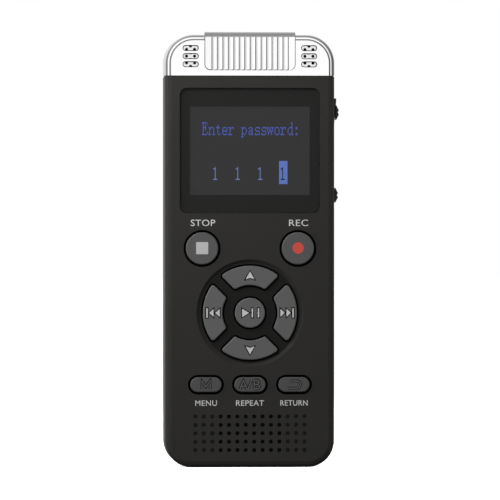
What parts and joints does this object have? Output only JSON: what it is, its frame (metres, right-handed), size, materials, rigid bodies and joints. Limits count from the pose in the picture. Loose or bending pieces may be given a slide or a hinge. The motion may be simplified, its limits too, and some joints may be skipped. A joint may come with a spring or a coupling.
{
  "type": "handheld voice recorder",
  "caption": "Upright handheld voice recorder with a colour display, round and arc-shaped keys, a speaker grille, a plated microphone end and two side sliders.",
  "frame": {"origin": "middle of the lower end face, where the case stands", "axes": "+Z towards the microphone end, -Y out of the face with the keys, +X towards the edge with the sliders"},
  "size_m": [0.0396, 0.0133, 0.098],
  "materials": {
    "case_plastic": "fine texture",
    "bright_plating": "polished",
    "satin_plating": "satin",
    "mesh_steel": "fine perforation",
    "soft_rubber": "matt",
    "can_aluminium": "satin",
    "wire_sleeve": "smooth",
    "window_clear": "polished",
    "panel_glass": "satin",
    "inner_plastic": "matt",
    "flex_film": "glossy",
    "connector_plastic": "semi-gloss",
    "board_laminate": "semi-gloss",
    "switch_plastic": "matt",
    "chip_plastic": "matt",
    "plated_steel": "satin",
    "cone_film": "satin",
    "foam": "open foam",
    "dust_cloth": "woven",
    "contact_brass": "polished",
    "cell_pouch": "foil",
    "screw_steel": "blackened",
    "key_plastic": "satin",
    "stem_plastic": "matt",
    "slider_plastic": "satin"
  },
  "bodies": {
    "case": {"front_housing": "case_plastic", "rear_housing": "case_plastic", "top_cap": "bright_plating", "top_trim": "satin_plating", "mic_meshes": "mesh_steel", "mic_boots": "soft_rubber", "mic_capsules": "can_aluminium", "mic_leads": "wire_sleeve", "display_window": "window_clear", "display_panel": "panel_glass", "display_frame": "inner_plastic", "display_flex": "flex_film", "flex_connector": "connector_plastic", "main_board": "board_laminate", "tact_switches": "switch_plastic", "processor_chip": "chip_plastic", "memory_chip": "chip_plastic", "crystal": "plated_steel", "slide_switches": "plated_steel", "record_slider_plate": "case_plastic", "speaker_frame": "inner_plastic", "speaker_cone": "cone_film", "speaker_magnet": "plated_steel", "speaker_gasket": "foam", "speaker_cloth": "dust_cloth", "speaker_leads": "wire_sleeve", "headphone_jack": "inner_plastic", "jack_contacts": "contact_brass", "usb_port": "plated_steel", "usb_tongue": "inner_plastic", "battery_cell": "cell_pouch", "battery_tape": "foam", "battery_leads": "wire_sleeve", "battery_connector": "connector_plastic", "housing_screws": "screw_steel"},
    "stop_key": {"stop_button": "key_plastic", "stop_key_stem": "stem_plastic"},
    "record_key": {"record_button": "key_plastic", "record_key_stem": "stem_plastic"},
    "up_key": {"up_button": "key_plastic", "up_key_stem": "stem_plastic"},
    "previous_key": {"previous_button": "key_plastic", "previous_key_stem": "stem_plastic"},
    "down_key": {"down_button": "key_plastic", "down_key_stem": "stem_plastic"},
    "next_key": {"next_button": "key_plastic", "next_key_stem": "stem_plastic"},
    "play_key": {"play_button": "key_plastic", "play_key_stem": "stem_plastic"},
    "menu_key": {"menu_button": "key_plastic", "menu_key_stem": "stem_plastic"},
    "repeat_key": {"repeat_button": "key_plastic", "repeat_key_stem": "stem_plastic"},
    "return_key": {"return_button": "key_plastic", "return_key_stem": "stem_plastic"},
    "record_slide": {"record_slider": "slider_plastic", "record_slider_lever": "stem_plastic"},
    "hold_slide": {"hold_slider": "slider_plastic", "hold_slider_lever": "stem_plastic"}
  },
  "joints": [
    {"name": "stop_press", "type": "slide", "parent": "case", "child": "stop_key", "axis": [0, 1, 0], "range_m": [0, 0.0003], "stiffness_N_per_m": 400, "springref_m": -0.0005},
    {"name": "record_press", "type": "slide", "parent": "case", "child": "record_key", "axis": [0, 1, 0], "range_m": [0, 0.0003], "stiffness_N_per_m": 400, "springref_m": -0.0005},
    {"name": "up_press", "type": "slide", "parent": "case", "child": "up_key", "axis": [0, 1, 0], "range_m": [0, 0.0003], "stiffness_N_per_m": 400, "springref_m": -0.0005},
    {"name": "previous_press", "type": "slide", "parent": "case", "child": "previous_key", "axis": [0, 1, 0], "range_m": [0, 0.0003], "stiffness_N_per_m": 400, "springref_m": -0.0005},
    {"name": "down_press", "type": "slide", "parent": "case", "child": "down_key", "axis": [0, 1, 0], "range_m": [0, 0.0003], "stiffness_N_per_m": 400, "springref_m": -0.0005},
    {"name": "next_press", "type": "slide", "parent": "case", "child": "next_key", "axis": [0, 1, 0], "range_m": [0, 0.0003], "stiffness_N_per_m": 400, "springref_m": -0.0005},
    {"name": "play_press", "type": "slide", "parent": "case", "child": "play_key", "axis": [0, 1, 0], "range_m": [0, 0.0003], "stiffness_N_per_m": 400, "springref_m": -0.0005},
    {"name": "menu_press", "type": "slide", "parent": "case", "child": "menu_key", "axis": [0, 1, 0], "range_m": [0, 0.0003], "stiffness_N_per_m": 400, "springref_m": -0.0005},
    {"name": "repeat_press", "type": "slide", "parent": "case", "child": "repeat_key", "axis": [0, 1, 0], "range_m": [0, 0.0003], "stiffness_N_per_m": 400, "springref_m": -0.0005},
    {"name": "return_press", "type": "slide", "parent": "case", "child": "return_key", "axis": [0, 1, 0], "range_m": [0, 0.0003], "stiffness_N_per_m": 400, "springref_m": -0.0005},
    {"name": "record_slider_travel", "type": "slide", "parent": "case", "child": "record_slide", "axis": [0, 0, -1], "range_m": [0, 0.002]},
    {"name": "hold_slider_travel", "type": "slide", "parent": "case", "child": "hold_slide", "axis": [0, 0, -1], "range_m": [0, 0.002]}
  ]
}
